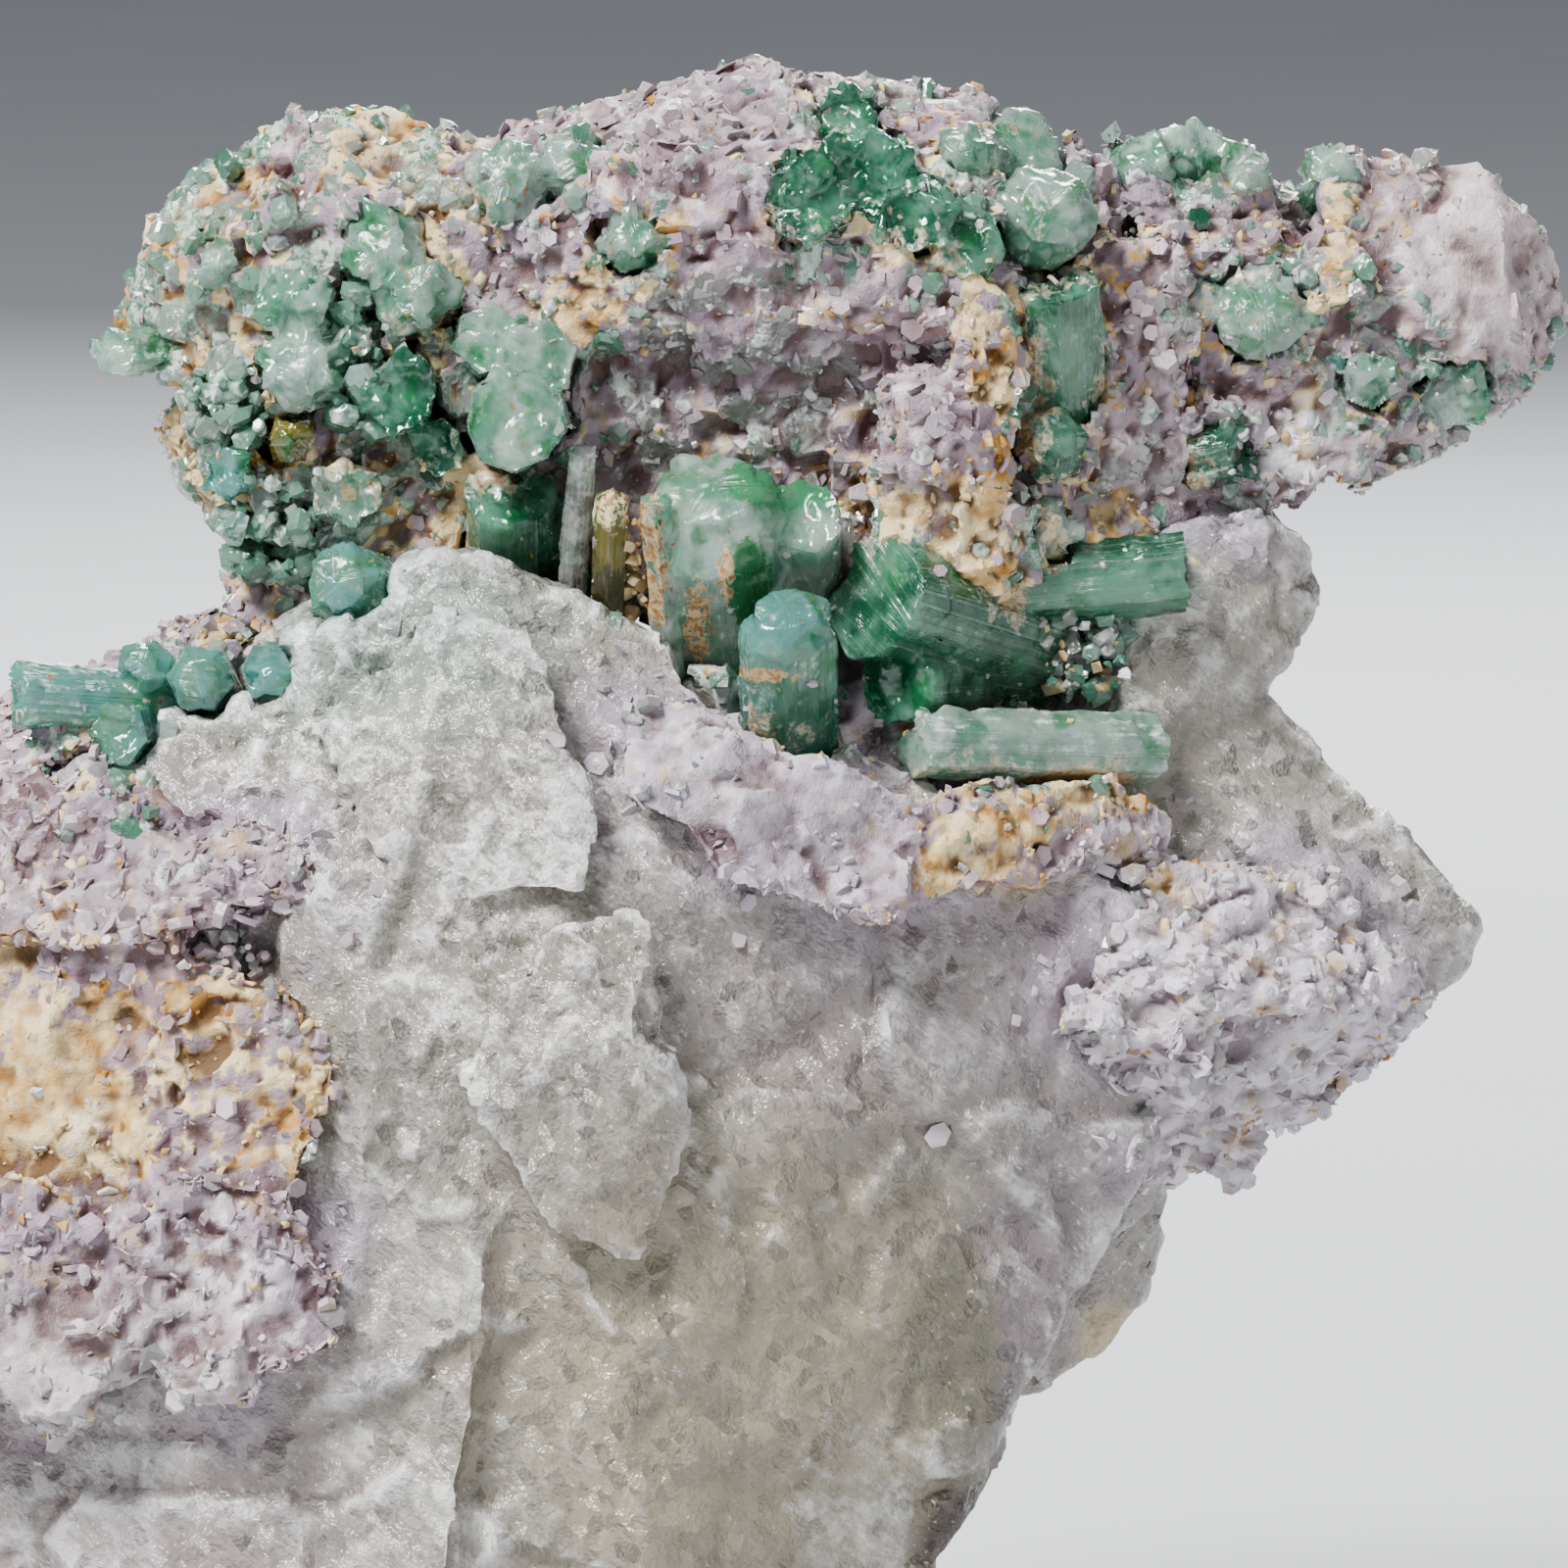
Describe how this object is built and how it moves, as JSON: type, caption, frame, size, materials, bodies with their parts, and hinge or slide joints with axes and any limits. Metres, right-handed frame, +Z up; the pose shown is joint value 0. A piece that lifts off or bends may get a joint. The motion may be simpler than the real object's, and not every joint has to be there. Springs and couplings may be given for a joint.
{
  "type": "tourmaline crystal cluster",
  "caption": "Green tourmaline prisms in a crown of lilac lepidolite and buff clay, overhanging a block of milky quartz that stands on a flat break.",
  "frame": {"origin": "on the flat base, below the middle of the whole piece", "axes": "+Z up; -Y is the show face, with the tourmaline crown; +X to the viewer's right, where the crown overhangs"},
  "size_m": [0.081, 0.0408, 0.08],
  "materials": {
    "tourmaline": "translucent mint to deep green, glassy, striated along the prisms, part frosted",
    "quartz": "milky to smoky, translucent, frosted breaks",
    "lepidolite": "lilac mica, pearly flakes",
    "clay": "buff to ochre, dull and earthy"
  },
  "bodies": {
    "root": {"tourmaline_dome": "tourmaline", "tourmaline_stub": "tourmaline", "tourmaline_olive_rod": "tourmaline", "tourmaline_grey_rod": "tourmaline", "tourmaline_face": "tourmaline", "tourmaline_under": "tourmaline", "tourmaline_top_left": "tourmaline", "tourmaline_middle_left": "tourmaline", "tourmaline_deep_row": "tourmaline", "tourmaline_rounds": "tourmaline", "tourmaline_right_column": "tourmaline", "tourmaline_right_pale": "tourmaline", "tourmaline_shade_rod": "tourmaline", "tourmaline_arm_rounds": "tourmaline", "tourmaline_arm_horn": "tourmaline", "tourmaline_arm_chip": "tourmaline", "tourmaline_arm_low": "tourmaline", "tourmaline_arm_end": "tourmaline", "tourmaline_left_teal": "tourmaline", "tourmaline_left_mint": "tourmaline", "tourmaline_left_dark": "tourmaline", "tourmaline_left_cyan": "tourmaline", "tourmaline_left_low": "tourmaline", "tourmaline_left_edge": "tourmaline", "tourmaline_left_pale": "tourmaline", "tourmaline_olive_fold": "tourmaline", "tourmaline_cyan_lens": "tourmaline", "tourmaline_ledge": "tourmaline", "tourmaline_ledge_small": "tourmaline", "tourmaline_dark_mass": "tourmaline", "tourmaline_lower_lateral": "tourmaline", "quartz_block": "quartz", "lepidolite_crown": "lepidolite", "lepidolite_arm": "lepidolite", "lepidolite_wedge": "lepidolite", "lepidolite_saddle": "lepidolite", "lepidolite_shoulder": "lepidolite", "lepidolite_skirt": "lepidolite", "clay_crown": "clay", "clay_pocket": "clay", "clay_column": "clay", "clay_left": "clay", "clay_band": "clay"}
  },
  "joints": []
}
